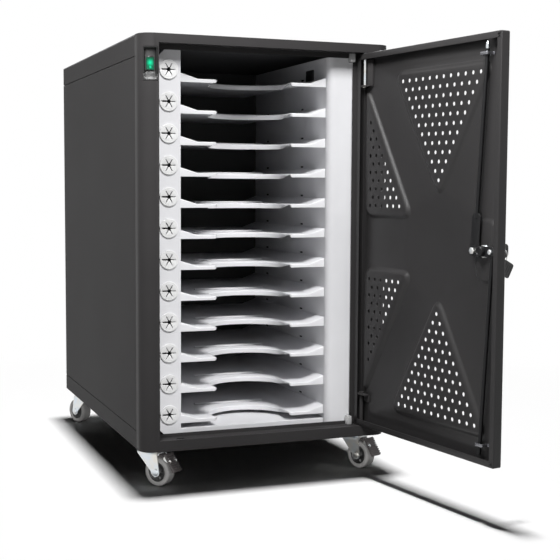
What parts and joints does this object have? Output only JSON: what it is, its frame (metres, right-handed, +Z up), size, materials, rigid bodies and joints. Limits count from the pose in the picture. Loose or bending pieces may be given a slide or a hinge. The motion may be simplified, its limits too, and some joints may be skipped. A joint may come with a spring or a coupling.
{
  "type": "laptop charging cart",
  "caption": "Steel cabinet on swivel casters with a stack of white laptop shelves, slit cable grommets, a vented door with a rod lock and a lit power switch.",
  "frame": {"origin": "on the floor, below the middle of the cabinet's plan", "axes": "+X to the right seen from the front, +Y to the back, +Z up"},
  "size_m": [0.4967, 1.0223, 0.76],
  "materials": {
    "charcoal_coat": "fine textured charcoal powder coat",
    "white_coat": "satin white powder coat",
    "black_coat": "matt black powder coat",
    "black_plastic": "moulded, matt",
    "white_plastic": "moulded, satin",
    "green_plastic": "clear green, lit from behind when switched on",
    "bright_zinc": "bright zinc plate",
    "dark_steel": "black coated steel",
    "grey_tyre": "grey non-marking rubber",
    "pedal_plastic": "dark grey moulded, ribbed"
  },
  "bodies": {
    "cabinet": {"front_frame": "charcoal_coat", "left_side_panel": "charcoal_coat", "right_side_panel": "charcoal_coat", "top_cover": "charcoal_coat", "base_pan": "charcoal_coat", "rear_panel": "charcoal_coat", "power_inlet": "black_plastic", "rear_divider": "black_coat", "power_strip": "black_plastic", "left_inner_wall": "white_coat", "right_inner_wall": "white_coat", "bay_floor": "white_coat", "shelf_01": "white_coat", "shelf_02": "white_coat", "shelf_03": "white_coat", "shelf_04": "white_coat", "shelf_05": "white_coat", "shelf_06": "white_coat", "shelf_07": "white_coat", "shelf_08": "white_coat", "shelf_09": "white_coat", "shelf_10": "white_coat", "shelf_11": "white_coat", "shelf_12": "white_coat", "cable_grommet_01": "white_plastic", "cable_grommet_02": "white_plastic", "cable_grommet_03": "white_plastic", "cable_grommet_04": "white_plastic", "cable_grommet_05": "white_plastic", "cable_grommet_06": "white_plastic", "cable_grommet_07": "white_plastic", "cable_grommet_08": "white_plastic", "cable_grommet_09": "white_plastic", "cable_grommet_10": "white_plastic", "cable_grommet_11": "white_plastic", "cable_grommet_12": "white_plastic", "switch_bezel": "black_plastic", "front_left_caster_plate": "bright_zinc", "front_right_caster_plate": "bright_zinc", "rear_left_caster_plate": "bright_zinc", "rear_right_caster_plate": "bright_zinc"},
    "rocker": {"power_rocker": "green_plastic"},
    "door": {"door_panel": "charcoal_coat", "upper_hinge_pin": "bright_zinc", "lower_hinge_pin": "bright_zinc", "lock_barrel": "bright_zinc"},
    "lock": {"lock_cam": "dark_steel", "key": "black_plastic"},
    "upper_rod": {"upper_lock_rod": "dark_steel"},
    "lower_rod": {"lower_lock_rod": "dark_steel"},
    "front_left_swivel": {"front_left_caster_fork": "bright_zinc"},
    "front_left_wheel": {"front_left_caster_wheel": "grey_tyre"},
    "front_left_pedal": {"front_left_brake_pedal": "pedal_plastic"},
    "front_right_swivel": {"front_right_caster_fork": "bright_zinc"},
    "front_right_wheel": {"front_right_caster_wheel": "grey_tyre"},
    "front_right_pedal": {"front_right_brake_pedal": "pedal_plastic"},
    "rear_left_swivel": {"rear_left_caster_fork": "bright_zinc"},
    "rear_left_wheel": {"rear_left_caster_wheel": "grey_tyre"},
    "rear_right_swivel": {"rear_right_caster_fork": "bright_zinc"},
    "rear_right_wheel": {"rear_right_caster_wheel": "grey_tyre"}
  },
  "joints": [
    {"name": "door_swing", "type": "hinge", "parent": "cabinet", "child": "door", "pos_m": [0.179, -0.322, 0.41675], "axis": [0, 0, 1], "range_deg": [-98.3, 20]},
    {"name": "lock_turn", "type": "hinge", "parent": "door", "child": "lock", "pos_m": [0.22693, -0.65052, 0.41675], "axis": [0.9895, 0.1444, 0], "range_deg": [0, 90]},
    {"name": "upper_rod_pivot", "type": "hinge", "parent": "lock", "child": "upper_rod", "pos_m": [0.22192, -0.63003, 0.41675], "axis": [0.9895, 0.1444, 0], "range_deg": [-96, 0]},
    {"name": "lower_rod_pivot", "type": "hinge", "parent": "lock", "child": "lower_rod", "pos_m": [0.22798, -0.67159, 0.41675], "axis": [0.9895, 0.1444, 0], "range_deg": [-96, 0]},
    {"name": "rocker_tip", "type": "hinge", "parent": "cabinet", "child": "rocker", "pos_m": [-0.207, -0.3206, 0.711], "axis": [1, 0, 0], "range_deg": [-8, 8]},
    {"name": "front_left_swivel", "type": "hinge", "parent": "cabinet", "child": "front_left_swivel", "pos_m": [-0.192, -0.26, 0.06], "axis": [0, 0, 1], "continuous": true},
    {"name": "front_left_spin", "type": "hinge", "parent": "front_left_swivel", "child": "front_left_wheel", "pos_m": [-0.17977, -0.27582, 0.025], "axis": [0.7912, 0.6115, 0], "continuous": true},
    {"name": "front_left_brake", "type": "hinge", "parent": "front_left_swivel", "child": "front_left_pedal", "pos_m": [-0.17977, -0.27582, 0.025], "axis": [-0.7912, -0.6115, 0], "range_deg": [0, 20]},
    {"name": "front_right_swivel", "type": "hinge", "parent": "cabinet", "child": "front_right_swivel", "pos_m": [0.192, -0.26, 0.06], "axis": [0, 0, 1], "continuous": true},
    {"name": "front_right_spin", "type": "hinge", "parent": "front_right_swivel", "child": "front_right_wheel", "pos_m": [0.19981, -0.27841, 0.025], "axis": [0.9205, 0.3907, 0], "continuous": true},
    {"name": "front_right_brake", "type": "hinge", "parent": "front_right_swivel", "child": "front_right_pedal", "pos_m": [0.19981, -0.27841, 0.025], "axis": [-0.9205, -0.3907, 0], "range_deg": [0, 20]},
    {"name": "rear_left_swivel", "type": "hinge", "parent": "cabinet", "child": "rear_left_swivel", "pos_m": [-0.192, 0.285, 0.06], "axis": [0, 0, 1], "continuous": true},
    {"name": "rear_left_spin", "type": "hinge", "parent": "rear_left_swivel", "child": "rear_left_wheel", "pos_m": [-0.20102, 0.30285, 0.025], "axis": [-0.8926, -0.4509, 0], "continuous": true},
    {"name": "rear_right_swivel", "type": "hinge", "parent": "cabinet", "child": "rear_right_swivel", "pos_m": [0.192, 0.285, 0.06], "axis": [0, 0, 1], "continuous": true},
    {"name": "rear_right_spin", "type": "hinge", "parent": "rear_right_swivel", "child": "rear_right_wheel", "pos_m": [0.202, 0.30232, 0.025], "axis": [-0.866, 0.5, 0], "continuous": true}
  ],
  "couplings": [
    {"joint": "upper_rod_pivot", "follows": "lock_turn", "ratio": -1.045},
    {"joint": "lower_rod_pivot", "follows": "lock_turn", "ratio": -1.045}
  ]
}
